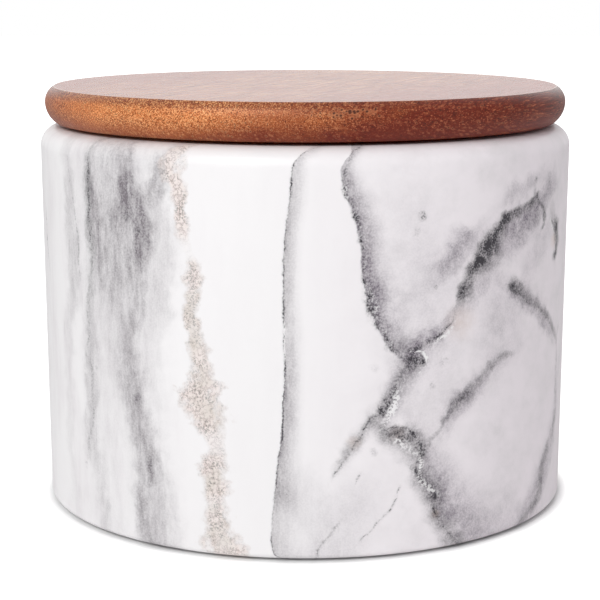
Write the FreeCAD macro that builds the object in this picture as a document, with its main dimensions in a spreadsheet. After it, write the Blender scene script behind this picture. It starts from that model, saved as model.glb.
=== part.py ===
# Storage canister: a marble pot on foot pads, closed by a turned wooden lid with a silicone seal.
# Millimetres, +Z up. The origin is the middle of the surface that the canister stands on.
import FreeCAD, Part
import os
import re
import Sketcher

# Driving dimensions: alias, number, meaning
SIZES = [
    ("body_diameter", 127.0, "outside of the marble pot, across the top of its wall"),
    ("wall_draft", 0.7, "how much smaller the pot's radius is at its base"),
    ("body_height", 89.4, "marble pot, base to rim"),
    ("wall_thickness", 10.0, "marble between the bore and the top of the outer wall"),
    ("floor_thickness", 10.0, "marble under the bore"),
    ("rim_round", 4.5, "radius of the rim's outer edge"),
    ("mouth_round", 1.5, "radius of the rim's inner edge"),
    ("floor_round", 6.0, "radius between the bore and its floor"),
    ("base_round", 1.2, "radius of the base's edge"),
    ("lid_inset", 1.25, "how far the lid's edge stands inside the pot's outer wall"),
    ("lid_thickness", 9.3, "lid board, underside to flat top"),
    ("lid_equator", 5.6, "height of the lid's widest line above its underside"),
    ("lid_upper_run", 2.2, "width of the rounded edge above the widest line"),
    ("lid_lower_run", 4.25, "width of the rounded edge below the widest line"),
    ("lid_arris", 0.4, "radius that softens the edge of the lid's flat top"),
    ("plug_gap", 2.4, "space between the plug and the bore"),
    ("plug_nose", 2.2, "plug below the seal groove"),
    ("plug_chamfer", 1.0, "lead-in at the plug's lower edge"),
    ("seal_drop", 2.0, "lid board's underside to the top of the seal groove"),
    ("groove_depth", 2.2, "depth of the seal groove in the plug"),
    ("band_gap", 0.1, "space above and below the band in its groove"),
    ("lip_count", 2, "number of lips on the seal"),
    ("band_below", 0.35, "seal's band below the lowest lip"),
    ("band_above", 0.85, "seal's band above the highest lip"),
    ("lip_pitch", 2.3, "height from one lip to the next"),
    ("lip_root", 1.1, "lip's thickness at the band"),
    ("lip_tip", 0.7, "lip's thickness at its tip"),
    ("lip_rise", 0.9, "how far the lip is bent up at its tip"),
    ("lip_rake", 0.2, "how far the tip's top edge stands behind its lower edge"),
    ("lip_bite", 0.4, "how far the lip's root reaches into the band"),
    ("seal_gap", 0.3, "space between the lips and the bore"),
    ("pad_count", 4, "number of foot pads"),
    ("pad_diameter", 12.0, "foot pad"),
    ("pad_thickness", 0.6, "foot pad, under load"),
    ("pad_inset", 9.0, "edge of the base to the edge of a foot pad"),
]

# Sizes that follow from the driving dimensions, as formulas of their aliases
BODY_RADIUS = "body_diameter / 2"
BASE_RADIUS = f"({BODY_RADIUS} - wall_draft)"
MOUTH_RADIUS = f"({BODY_RADIUS} - wall_thickness)"
RIM_HEIGHT = "(pad_thickness + body_height)"
LID_RADIUS = f"({BODY_RADIUS} - lid_inset)"
PLUG_RADIUS = f"({MOUTH_RADIUS} - plug_gap)"
GROOVE_RADIUS = f"({PLUG_RADIUS} - groove_depth)"
LIPS_HEIGHT = "(lip_count - 1) * lip_pitch"
BAND_HEIGHT = f"(band_below + {LIPS_HEIGHT} + lip_root + band_above)"
GROOVE_TOP = f"(plug_nose + {BAND_HEIGHT} + 2 * band_gap)"
PLUG_DEPTH = f"({GROOVE_TOP} + seal_drop)"
TIP_REACH = f"({MOUTH_RADIUS} - seal_gap)"
TIP_FLOOR = "(band_below + lip_rise)"
PAD_CIRCLE = f"({BASE_RADIUS} - pad_inset - pad_diameter / 2)"

FULL_TURN = 360
SAME_MM = 1e-4


def cells(formula):
    """The formula with each alias written as a cell of the sheet."""
    return re.sub(r"[a-z_]+", r"Sizes.\g<0>", formula)


def number(sheet, formula):
    """What the formula comes to."""
    return float(sheet.evalExpression(cells(formula)))


def add_sheet(doc):
    sheet = doc.addObject("Spreadsheet::Sheet", "Sizes")
    for row, (alias, value, meaning) in enumerate(SIZES, start=1):
        sheet.set(f"A{row}", meaning)
        sheet.set(f"B{row}", str(value))
        sheet.setAlias(f"B{row}", alias)
    doc.recompute()
    return sheet


def add_body(doc, label, height):
    """A body of its own, whose frame stands at the given height on the canister's axis."""
    body = doc.addObject("PartDesign::Body", label)
    body.Label = label
    body.setExpression("Placement.Base.z", cells(height))
    return body


def origin_feature(body, role):
    return next(f for f in body.Origin.OriginFeatures if f.Role == role)


def arc_between(start, end, centre_y):
    """The anticlockwise arc from start to end whose centre is at the given y."""
    rise = (start.y - centre_y) ** 2 - (end.y - centre_y) ** 2
    centre_x = (start.x**2 - end.x**2 + rise) / (2 * (start.x - end.x))
    centre = FreeCAD.Vector(centre_x, centre_y, 0)
    circle = Part.Circle(centre, FreeCAD.Vector(0, 0, 1), (start - centre).Length)
    return Part.ArcOfCircle(circle, circle.parameter(start), circle.parameter(end))


def pin(sketch, sheet, edge, point, direction, formula):
    """Holds a point of an edge at a formula's distance from the sketch's axis."""
    axis = {"DistanceX": -2, "DistanceY": -1}[direction]
    if formula == "0":
        sketch.addConstraint(Sketcher.Constraint("PointOnObject", edge, point, axis))
        return
    held = Sketcher.Constraint(direction, -1, 1, edge, point, number(sheet, formula))
    sketch.setExpression(f"Constraints[{sketch.addConstraint(held)}]", cells(formula))


def add_sketch(body, name, role):
    sketch = body.newObject("Sketcher::SketchObject", name)
    sketch.AttachmentSupport = [(origin_feature(body, role), "")]
    sketch.MapMode = "FlatFace"
    return sketch


def add_outline(body, sheet, name, corners):
    """A closed half section beside the axis. A corner is its x and y formulas. A third formula makes the
    edge that leaves the corner an anticlockwise arc, with its centre at that y."""
    sketch = add_sketch(body, name, "XZ_Plane")
    points = [FreeCAD.Vector(number(sheet, c[0]), number(sheet, c[1]), 0) for c in corners]
    for corner, start, end in zip(corners, points, points[1:] + points[:1]):
        if len(corner) == 3:
            sketch.addGeometry(arc_between(start, end, number(sheet, corner[2])))
        else:
            sketch.addGeometry(Part.LineSegment(start, end))
    for edge, corner in enumerate(corners):
        following = (edge + 1) % len(corners)
        sketch.addConstraint(Sketcher.Constraint("Coincident", edge, 2, following, 1))
        pin(sketch, sheet, edge, 1, "DistanceX", corner[0])
        pin(sketch, sheet, edge, 1, "DistanceY", corner[1])
        if len(corner) == 3:
            pin(sketch, sheet, edge, 3, "DistanceY", corner[2])
    return sketch


def add_turning(body, kind, name, sketch):
    """Turns a half section about the axis: kind is Revolution, which adds, or Groove, which cuts."""
    feature = body.newObject(f"PartDesign::{kind}", name)
    feature.Profile = sketch
    feature.ReferenceAxis = (sketch, ["V_Axis"])
    feature.Angle = FULL_TURN
    body.Document.recompute()
    return feature


def ring_edge(sheet, feature, radius, height):
    """Name of the feature's circular edge of that radius about the axis at that height."""
    wanted = number(sheet, radius), number(sheet, height)
    for index, edge in enumerate(feature.Shape.Edges, start=1):
        if isinstance(edge.Curve, Part.Circle):
            found = edge.Curve.Radius, edge.Curve.Center.z
            if all(abs(a - b) < SAME_MM for a, b in zip(wanted, found)):
                return f"Edge{index}"
    raise ValueError(f"{feature.Label} has no edge of radius {wanted[0]} at height {wanted[1]}")


def ease_edge(body, sheet, kind, name, ring, size):
    """Rounds (Fillet) or bevels (Chamfer) one circular edge of the body, given as radius and height."""
    base = body.Tip
    feature = body.newObject(f"PartDesign::{kind}", name)
    feature.Base = (base, [ring_edge(sheet, base, *ring)])
    feature.setExpression("Radius" if kind == "Fillet" else "Size", cells(size))
    body.Document.recompute()
    return feature


def make_marble_body(doc, sheet):
    """The pot: a slightly drafted block of marble with a straight bore, eased at every edge."""
    body = add_body(doc, "marble_body", "pad_thickness")
    block = [("0", "0"), (BASE_RADIUS, "0"), (BODY_RADIUS, "body_height"), ("0", "body_height")]
    add_turning(body, "Revolution", "block", add_outline(body, sheet, "block_section", block))
    bore = [
        ("0", "floor_thickness"),
        (MOUTH_RADIUS, "floor_thickness"),
        (MOUTH_RADIUS, "body_height"),
        ("0", "body_height"),
    ]
    add_turning(body, "Groove", "bore", add_outline(body, sheet, "bore_section", bore))
    ease_edge(body, sheet, "Fillet", "floor_corner", (MOUTH_RADIUS, "floor_thickness"), "floor_round")
    ease_edge(body, sheet, "Fillet", "mouth_edge", (MOUTH_RADIUS, "body_height"), "mouth_round")
    ease_edge(body, sheet, "Fillet", "rim_edge", (BODY_RADIUS, "body_height"), "rim_round")
    ease_edge(body, sheet, "Fillet", "base_edge", (BASE_RADIUS, "0"), "base_round")
    return body


def make_lid_board(doc, sheet):
    """The lid: a flat board turned round, its edge two arcs that meet at the widest line."""
    body = add_body(doc, "lid_board", RIM_HEIGHT)
    flat_radius = f"{LID_RADIUS} - lid_upper_run"
    section = [
        ("0", "0"),
        (f"{LID_RADIUS} - lid_lower_run", "0", "lid_equator"),
        (LID_RADIUS, "lid_equator", "lid_equator"),
        (flat_radius, "lid_thickness"),
        ("0", "lid_thickness"),
    ]
    add_turning(body, "Revolution", "board", add_outline(body, sheet, "board_section", section))
    ease_edge(body, sheet, "Fillet", "top_arris", (flat_radius, "lid_thickness"), "lid_arris")
    return body


def make_lid_plug(doc, sheet):
    """The plug glued under the lid board, with a groove round it for the seal."""
    body = add_body(doc, "lid_plug", f"{RIM_HEIGHT} - {PLUG_DEPTH}")
    disc = [("0", "0"), (PLUG_RADIUS, "0"), (PLUG_RADIUS, PLUG_DEPTH), ("0", PLUG_DEPTH)]
    add_turning(body, "Revolution", "disc", add_outline(body, sheet, "disc_section", disc))
    groove = [
        (GROOVE_RADIUS, "plug_nose"),
        (PLUG_RADIUS, "plug_nose"),
        (PLUG_RADIUS, GROOVE_TOP),
        (GROOVE_RADIUS, GROOVE_TOP),
    ]
    add_turning(body, "Groove", "seal_groove", add_outline(body, sheet, "groove_section", groove))
    ease_edge(body, sheet, "Chamfer", "lead_in", (PLUG_RADIUS, "0"), "plug_chamfer")
    return body


def make_seal_ring(doc, sheet):
    """The silicone seal: a band that fills the plug's groove, with lips bent up as the bore holds them."""
    body = add_body(doc, "seal_ring", f"{RIM_HEIGHT} - {PLUG_DEPTH} + plug_nose + band_gap")
    band = [
        (GROOVE_RADIUS, "0"),
        (PLUG_RADIUS, "0"),
        (PLUG_RADIUS, BAND_HEIGHT),
        (GROOVE_RADIUS, BAND_HEIGHT),
    ]
    add_turning(body, "Revolution", "band", add_outline(body, sheet, "band_section", band))
    root = f"{PLUG_RADIUS} - lip_bite"
    lip = [
        (root, "band_below"),
        (TIP_REACH, TIP_FLOOR),
        (f"{TIP_REACH} - lip_rake", f"{TIP_FLOOR} + lip_tip"),
        (root, "band_below + lip_root"),
    ]
    turned = add_turning(body, "Revolution", "lip", add_outline(body, sheet, "lip_section", lip))
    lips = body.newObject("PartDesign::LinearPattern", "lips")
    lips.Originals = [turned]
    lips.Direction = (origin_feature(body, "Z_Axis"), [""])
    lips.setExpression("Length", cells(LIPS_HEIGHT))
    lips.setExpression("Occurrences", cells("lip_count"))
    body.Tip = lips
    doc.recompute()
    return body


def make_foot_pads(doc, sheet):
    """The soft pads stuck under the base, evenly round it."""
    body = add_body(doc, "foot_pads", "0")
    sketch = add_sketch(body, "pad_section", "XY_Plane")
    centre = FreeCAD.Vector(number(sheet, PAD_CIRCLE), 0, 0)
    radius = number(sheet, "pad_diameter / 2")
    sketch.addGeometry(Part.Circle(centre, FreeCAD.Vector(0, 0, 1), radius))
    pin(sketch, sheet, 0, 3, "DistanceX", PAD_CIRCLE)
    pin(sketch, sheet, 0, 3, "DistanceY", "0")
    held = sketch.addConstraint(Sketcher.Constraint("Diameter", 0, 2 * radius))
    sketch.setExpression(f"Constraints[{held}]", cells("pad_diameter"))
    pad = body.newObject("PartDesign::Pad", "pad")
    pad.Profile = sketch
    pad.setExpression("Length", cells("pad_thickness"))
    doc.recompute()
    pads = body.newObject("PartDesign::PolarPattern", "pads")
    pads.Originals = [pad]
    pads.Axis = (origin_feature(body, "Z_Axis"), [""])
    pads.Angle = FULL_TURN
    pads.setExpression("Occurrences", cells("pad_count"))
    body.Tip = pads
    doc.recompute()
    return body


def check(doc, bodies):
    """Stops if any object failed, or a piece has no sound solid."""
    failed = [o.Label for o in doc.Objects if {"Invalid", "Error"} & set(o.State)]
    for body in bodies:
        shape = body.Shape
        if shape.isNull() or not shape.isValid() or not shape.Solids:
            failed.append(body.Label)
    if failed:
        raise RuntimeError(f"these did not build: {failed}")


def main():
    doc = FreeCAD.newDocument("canister")
    sheet = add_sheet(doc)
    makers = (make_marble_body, make_lid_board, make_lid_plug, make_seal_ring, make_foot_pads)
    bodies = [make(doc, sheet) for make in makers]
    doc.recompute()
    check(doc, bodies)
    os.makedirs("parts", exist_ok=True)
    for body in bodies:
        body.Shape.exportStep(f"parts/{body.Label}.step")
        box = body.Shape.BoundBox
        print(
            f"{body.Label}: {len(body.Shape.Solids)} solids, {body.Shape.Volume / 1000:.2f} cm3, "
            f"z {box.ZMin:.2f} to {box.ZMax:.2f}, across {box.XLength:.2f} mm"
        )


main()
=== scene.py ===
"""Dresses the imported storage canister: a honed marble pot, a turned wooden lid, its seal and its foot pads.

The file is laid out as a Blender add-on and run as a script. Blender's lengths are metres; sizes written
as numbers here are millimetres times MM. Routes of veins are points of the photograph's 600 pixel frame,
read off it, and wall_point lays them on the pot's wall.
"""

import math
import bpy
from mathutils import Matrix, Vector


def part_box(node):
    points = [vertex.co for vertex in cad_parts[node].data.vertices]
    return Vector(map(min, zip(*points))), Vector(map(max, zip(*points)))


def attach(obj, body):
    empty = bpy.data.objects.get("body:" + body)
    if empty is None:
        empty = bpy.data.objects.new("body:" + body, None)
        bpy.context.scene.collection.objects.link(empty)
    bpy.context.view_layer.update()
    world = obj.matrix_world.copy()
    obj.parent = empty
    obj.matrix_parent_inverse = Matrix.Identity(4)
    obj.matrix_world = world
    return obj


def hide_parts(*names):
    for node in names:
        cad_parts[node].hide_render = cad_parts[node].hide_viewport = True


bl_info = {
    "name": "Marble storage canister",
    "version": (1, 0, 0),
    "blender": (4, 5, 0),
    "location": "View3D > Sidebar > Canister",
    "description": "Dresses a marble storage canister with a turned wooden lid around its packed frame",
    "category": "Add Mesh",
}

from collections import namedtuple
from functools import partial

import bpy
from bpy.props import FloatProperty, IntProperty, PointerProperty, StringProperty
from mathutils import Vector

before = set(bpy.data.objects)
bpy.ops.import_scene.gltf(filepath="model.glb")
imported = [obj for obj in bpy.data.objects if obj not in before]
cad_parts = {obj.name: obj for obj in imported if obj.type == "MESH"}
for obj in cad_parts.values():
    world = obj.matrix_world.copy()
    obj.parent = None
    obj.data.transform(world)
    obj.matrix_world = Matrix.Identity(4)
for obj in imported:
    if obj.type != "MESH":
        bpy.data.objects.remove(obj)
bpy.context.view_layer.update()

MM = 0.001
PER_METRE = 1000
PHOTO_SIZE = 600
SENSOR_WIDTH = 36.0
# Radius of the ring that a section is swept along, and how close points of a turned piece are merged
AXIS_RING = 1 * MM
MERGE_WITHIN = 0.005 * MM
# A streak that ends this near the rim or the base runs on over it
RIM_ZONE = 4 * MM

POT_LOW, POT_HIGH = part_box("marble_body")
LID_LOW, LID_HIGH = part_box("lid_board")
PLUG_LOW, PLUG_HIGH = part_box("lid_plug")
SEAL_LOW, SEAL_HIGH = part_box("seal_ring")
PADS_LOW, PADS_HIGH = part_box("foot_pads")


def length(name, description, default):
    return FloatProperty(name=name, description=description, default=default, min=0, unit="LENGTH")


def colour(name, description, default):
    return StringProperty(name=name, description=f"{description}, as an sRGB hex value", default=default)


class PotSettings(bpy.types.PropertyGroup):
    """Sizes and colours of the marble pot."""

    wall_radius: length("Wall radius", "Outside of the pot at the top of its wall", 63.5 * MM)
    wall_draft: length("Wall draft", "How much smaller the radius is at the base", 0.7 * MM)
    wall_thickness: length("Wall thickness", "Marble between bore and outside, at the rim", 10 * MM)
    floor_thickness: length("Floor thickness", "Marble under the bore", 10 * MM)
    rim_round: length("Rim round", "Radius of the rim's outer edge", 4.5 * MM)
    mouth_round: length("Mouth round", "Radius of the rim's inner edge", 1.5 * MM)
    floor_round: length("Floor round", "Radius between bore and floor", 6 * MM)
    base_round: length("Base round", "Radius of the base's edge", 1.2 * MM)
    segments: IntProperty(name="Segments", description="Faces round the pot", default=256, min=16)
    white: colour("White", "Clean marble on the left", "F6F4F5")
    lilac_white: colour("Lilac white", "Clean marble on the right", "FAF1F7")
    shade: colour("Shade", "Marble's faint bedding", "E4DFE2")
    cloud: colour("Cloud", "Soft grey clouds on the left", "7A7379")
    lilac: colour("Lilac cloud", "Soft grey clouds on the right", "796F7C")
    vein: colour("Vein", "Dark mineral of the veins", "37333A")
    beige: colour("Beige band", "Ground of the crystalline band", "DFD2CF")
    beige_pale: colour("Pale beige", "Pale crystals of the band", "F0E6E2")
    beige_grey: colour("Grey beige", "Where the band is greyer", "CFC9BF")
    beige_seam: colour("Beige seams", "Seams between the band's crystals", "AFA29C")
    beige_dark: colour("Beige specks", "Dark grains of the crystalline band", "857D78")
    rust: colour("Rust", "Warm tints beside the veins", "DDC4B4")


class LidSettings(bpy.types.PropertyGroup):
    """Sizes and colours of the wooden lid and its plug."""

    equator: length("Widest line", "Height of the widest line above the underside", 5.6 * MM)
    upper_run: length("Upper run", "Width of the rounded edge above the widest line", 2.2 * MM)
    lower_run: length("Lower run", "Width of the rounded edge below the widest line", 4.25 * MM)
    arris: length("Arris", "Radius that softens the edge of the flat top", 0.6 * MM)
    groove_depth: length("Groove depth", "Depth of the seal groove in the plug", 2.2 * MM)
    groove_gap: length("Groove gap", "Space above and below the seal in its groove", 0.1 * MM)
    plug_chamfer: length("Plug chamfer", "Lead-in at the plug's lower edge", 1 * MM)
    grain_turn: FloatProperty(
        name="Grain turn",
        description="Direction of the grain, from the front towards the right",
        default=math.radians(-28),
        subtype="ANGLE",
    )
    segments: IntProperty(name="Segments", description="Faces round the lid", default=256, min=16)
    shadow_gap: length("Shadow gap", "Height of the dark gap between lid and rim", 0.7 * MM)
    seat: length("Seat", "Width of the flat ring on which the lid rests", 0.3 * MM)
    golden: colour("Golden wood", "Sapwood", "D8793E")
    red: colour("Red wood", "Heartwood", "72210B")
    fleck: colour("Flecks", "Bright fibres of the sapwood", "F5B67C")
    red_fleck: colour("Red flecks", "Bright fibres of the heartwood", "BC6C4A")
    # Painted highlight: a pale line along the arris, where the edge turns up into the flat top
    arris_highlight: colour("Arris highlight", "Painted highlight along the edge of the flat top", "F6DFD4")
    face: colour("Face grain", "Flat top, redder than the end grain", "BA5B4A")
    dark: colour("Dark wood", "Pores and late wood", "431A0E")


class SealSettings(bpy.types.PropertyGroup):
    """Sizes and colours of the silicone seal."""

    lip_pitch: length("Lip pitch", "Height from one lip to the next", 2.3 * MM)
    lip_root: length("Lip root", "Lip's thickness at the band", 1.1 * MM)
    lip_tip: length("Lip tip", "Lip's thickness at its tip", 0.7 * MM)
    lip_rise: length("Lip rise", "How far the lip is bent up at its tip", 0.9 * MM)
    lip_start: length("Lip start", "Underside of the band to the lowest lip", 0.35 * MM)
    lip_count: IntProperty(name="Lips", description="Number of lips", default=2, min=1)
    silicone: colour("Silicone", "Milky seal", "DAD8D2")
    dust: colour("Dust", "Where the seal is dusty", "CFCCC4")


class PadSettings(bpy.types.PropertyGroup):
    """Sizes and colours of the foot pads."""

    count: IntProperty(name="Pads", description="Number of pads round the base", default=4, min=1)
    diameter: length("Diameter", "Each pad", 12 * MM)
    segments: IntProperty(name="Segments", description="Faces round a pad", default=48, min=16)
    foam: colour("Foam", "Closed-cell foam", "2A2A2B")
    cell: colour("Cells", "Hollows of the foam", "151515")


class StageSettings(bpy.types.PropertyGroup):
    """The camera, as found from the photograph's outline."""

    distance: length("Camera distance", "Camera to the canister's axis", 430.6 * MM)
    height: length("Camera height", "Camera above the floor", 126.3 * MM)
    pitch: FloatProperty(
        name="Pitch", description="Camera's tilt down", default=math.radians(10.54), subtype="ANGLE"
    )
    focal: FloatProperty(name="Lens", description="Focal length", default=106.53, min=1, unit="CAMERA")
    axis_pixel: FloatProperty(
        name="Axis", description="Where the canister's axis is across the photograph, in pixels", default=305
    )


def to_linear(code):
    """An sRGB hex value as a linear colour."""
    channels = [int(code[i : i + 2], 16) / 255 for i in (0, 2, 4)]
    linear = [c / 12.92 if c <= 0.04045 else ((c + 0.055) / 1.055) ** 2.4 for c in channels]
    return (*linear, 1.0)


def add_node(tree, kind, inputs=None, curve=None, stops=None, **settings):
    """Adds a node and returns its first output in use. inputs gives sockets, by name or number, a value or
    the socket that feeds them; curve is a Float Curve's points; stops are a Color Ramp's."""
    node = tree.nodes.new(kind)
    for name, value in settings.items():
        setattr(node, name, value)
    for key, value in (inputs or {}).items():
        named = [s for s in node.inputs if s.enabled and s.name == key]
        socket = node.inputs[key] if isinstance(key, int) else named[0]
        if isinstance(value, bpy.types.NodeSocket):
            tree.links.new(value, socket)
        else:
            socket.default_value = value
    if curve:
        node.mapping.extend = "HORIZONTAL"
        points = node.mapping.curves[0].points
        while len(points) < len(curve):
            points.new(0.5, 0.5)
        for point, place in zip(points, sorted(curve)):
            point.location = place
            point.handle_type = "AUTO_CLAMPED"
        node.mapping.update()
    if stops:
        elements = node.color_ramp.elements
        while len(elements) < len(stops):
            elements.new(0.5)
        for element, (place, shade) in zip(elements, stops):
            element.position = place
            element.color = shade
    return next((s for s in node.outputs if s.enabled), node)


def new_material(name):
    """An empty material and its tree."""
    material = bpy.data.materials.new(name)
    material.use_nodes = True
    material.node_tree.nodes.clear()
    return material, material.node_tree


def millimetres(tree):
    """The piece's own coordinates in millimetres."""
    place = add_node(tree, "ShaderNodeTexCoord").node.outputs["Object"]
    return add_node(tree, "ShaderNodeVectorMath", {0: place, "Scale": PER_METRE}, operation="SCALE")


def wall_point(stage, pot, px, py):
    """Where the photograph's pixel lies on the pot's wall, in millimetres."""
    pixels = stage.focal / SENSOR_WIDTH * PHOTO_SIZE
    across = (px - stage.axis_pixel) / pixels
    up = (PHOTO_SIZE / 2 - py) / pixels
    ahead = math.cos(stage.pitch) + up * math.sin(stage.pitch)
    climb = up * math.cos(stage.pitch) - math.sin(stage.pitch)
    radius = pot.wall_radius - pot.wall_draft / 2
    a = across**2 + ahead**2
    half_b = -stage.distance * ahead
    root = math.sqrt(max(half_b**2 - a * (stage.distance**2 - radius**2), 0))
    reach = (-half_b - root) / a
    spot = Vector((across * reach, ahead * reach - stage.distance, stage.height + climb * reach))
    return spot * PER_METRE


# A streak is where a sheet of mineral in the block meets the surface. A point of its route is a pixel of the
# photograph, how dark the streak is there, and its width in millimetres. left and right are how far it fades
# to each side, in widths, and slant is how far the sheet leans from square to the wall, in degrees.
Streak = namedtuple("Streak", "left right slant route")

HAIRLINES = [
    # Down the middle
    Streak(1, 1, 35, [
        (314, 145, 0.55, 0.4), (304, 150, 0.5, 0.4), (296, 160, 0.5, 0.4), (293, 172, 0.75, 0.5),
        (292, 184, 0.65, 0.45), (291, 200, 0.5, 0.4), (288, 216, 0.45, 0.4), (286, 237, 0.6, 0.4),
        (285, 253, 0.85, 0.4), (284, 271, 0.85, 0.45), (284, 291, 0.6, 0.4), (284, 307, 0.85, 0.4),
        (284, 345, 0.6, 0.4), (285, 375, 0.85, 0.45), (283, 408, 0.9, 0.4), (282, 435, 0.9, 0.4),
        (279, 450, 0.85, 0.4), (277, 469, 0.7, 0.4), (275, 487, 0.65, 0.4), (273, 504, 0.5, 0.4),
        (272, 520, 0.2, 0.4), (271, 540, 0.4, 0.4), (273, 553, 0.5, 0.4), (278, 559, 0.5, 0.4),
    ]),
]

VEINS = [
    # The main vein, down to the crossing
    Streak(0.6, 1.5, 20, [
        (359, 147, 0.35, 1.0), (353, 152, 0.4, 1.0), (349, 161, 0.4, 0.9), (346, 171, 0.45, 1.1),
        (344, 184, 0.55, 1.1), (345, 194, 0.5, 1.2), (351, 204, 0.35, 1.2), (355, 216, 0.65, 1.1),
        (358, 226, 0.4, 1.0), (361, 240, 0.65, 1.0), (363, 252, 0.35, 1.1), (363, 266, 0.3, 1.1),
        (362, 279, 0.65, 1.3), (365, 288, 0.5, 1.7), (369, 300, 0.85, 2.2), (371, 313, 0.65, 2.2),
        (375, 322, 0.65, 2.0), (383, 333, 0.65, 1.8), (389, 346, 0.8, 1.8), (399, 356, 0.45, 1.6),
        (409, 362, 0.3, 1.4), (420, 368, 0.0, 1.5),
    ]),
    # The link from the heavy stroke to the crossing
    Streak(1, 1, 0, [
        (455, 309, 0.1, 0.8), (454, 319, 0.35, 0.7), (447, 327, 0.55, 0.8), (438, 336, 0.55, 1.1),
        (425, 345, 0.5, 1.5), (411, 349, 0.5, 1.6), (398, 351, 0.0, 1.2),
    ]),
    # From the crossing down to the left
    Streak(1, 1, 0, [
        (414, 352, 0.25, 1.6), (408, 362, 0.3, 1.8), (402, 372, 0.3, 1.6), (397, 384, 0.35, 1.6),
        (391, 398, 0.8, 2.0), (384, 409, 0.8, 2.0), (378, 416, 0.55, 1.3), (369, 422, 0.5, 0.9),
        (362, 434, 0.45, 0.8), (353, 448, 0.4, 0.9), (344, 461, 0.4, 0.8), (335, 475, 0.3, 0.8),
        (326, 490, 0.0, 0.7),
    ]),
    # From the crossing down to the right, starting with a hook
    Streak(1, 1.2, 0, [
        (384, 431, 0.4, 0.8), (393, 427, 0.65, 0.9), (402, 428, 0.6, 1.2), (413, 434, 0.65, 1.6),
        (420, 446, 0.7, 1.9), (423, 455, 0.7, 1.6), (415, 467, 0.7, 1.4), (419, 478, 0.6, 1.6),
        (429, 487, 0.5, 2.0), (435, 496, 0.55, 2.0), (434, 504, 0.4, 1.6), (437, 516, 0.35, 1.3),
        (444, 527, 0.35, 1.2), (451, 535, 0.4, 1.4), (458, 543, 0.35, 1.4),
    ]),
    # The fissure at the right edge
    Streak(1, 1, 0, [
        (549, 216, 0.0, 0.9), (552, 222, 0.7, 1.0), (556, 228, 0.8, 1.2), (556, 238, 0.6, 0.9),
        (555, 250, 0.7, 1.2), (555, 258, 0.0, 1.0),
    ]),
    # Fine strokes near the base
    Streak(1, 1, 0, [
        (402, 484, 0.0, 0.5), (399, 490, 0.4, 0.6), (392, 508, 0.5, 0.7), (382, 518, 0.45, 0.7),
        (372, 531, 0.35, 0.6), (365, 537, 0.2, 0.6), (360, 542, 0.0, 0.6),
    ]),
    Streak(1, 1, 0, [
        (352, 512, 0.0, 0.6), (341, 522, 0.25, 0.7), (330, 535, 0.3, 0.8), (323, 544, 0.3, 0.8),
        (318, 556, 0.35, 0.8),
    ]),
    Streak(1, 1, 0, [(362, 470, 0.0, 0.5), (358, 480, 0.5, 0.6), (354, 490, 0.0, 0.5)]),
    # The dark line of the left cloud
    Streak(0.8, 1.2, 20, [
        (89, 143, 0.1, 0.8), (89, 157, 0.35, 0.9), (89, 175, 0.55, 1.0), (89.5, 190, 0.9, 1.0),
        (90, 202, 0.85, 1.0), (89.5, 214, 0.55, 1.0), (90, 224, 0.65, 1.0), (91, 245, 0.45, 1.0),
        (92, 264, 0.3, 1.0), (88, 304, 0.25, 0.9), (89, 331, 0.25, 0.9), (86, 350, 0.15, 1.0),
        (92, 368, 0.2, 1.0), (92, 396, 0.3, 1.0), (93, 412, 0.25, 1.0), (90, 430, 0.15, 1.0),
        (86, 462, 0.1, 1.0),
    ]),
    # Faint lines at the left edge
    Streak(1, 1, 0, [
        (46, 195, 0.0, 0.8), (47, 210, 0.3, 0.9), (48, 240, 0.35, 0.9), (50, 264, 0.2, 0.9),
        (52, 285, 0.0, 0.9),
    ]),
    Streak(1, 1, 10, [
        (69, 160, 0.15, 0.7), (72, 190, 0.15, 0.7), (77, 224, 0.25, 0.8), (79, 250, 0.25, 0.8),
        (80, 271, 0.2, 0.8), (82, 290, 0.0, 0.8),
    ]),
]

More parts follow.
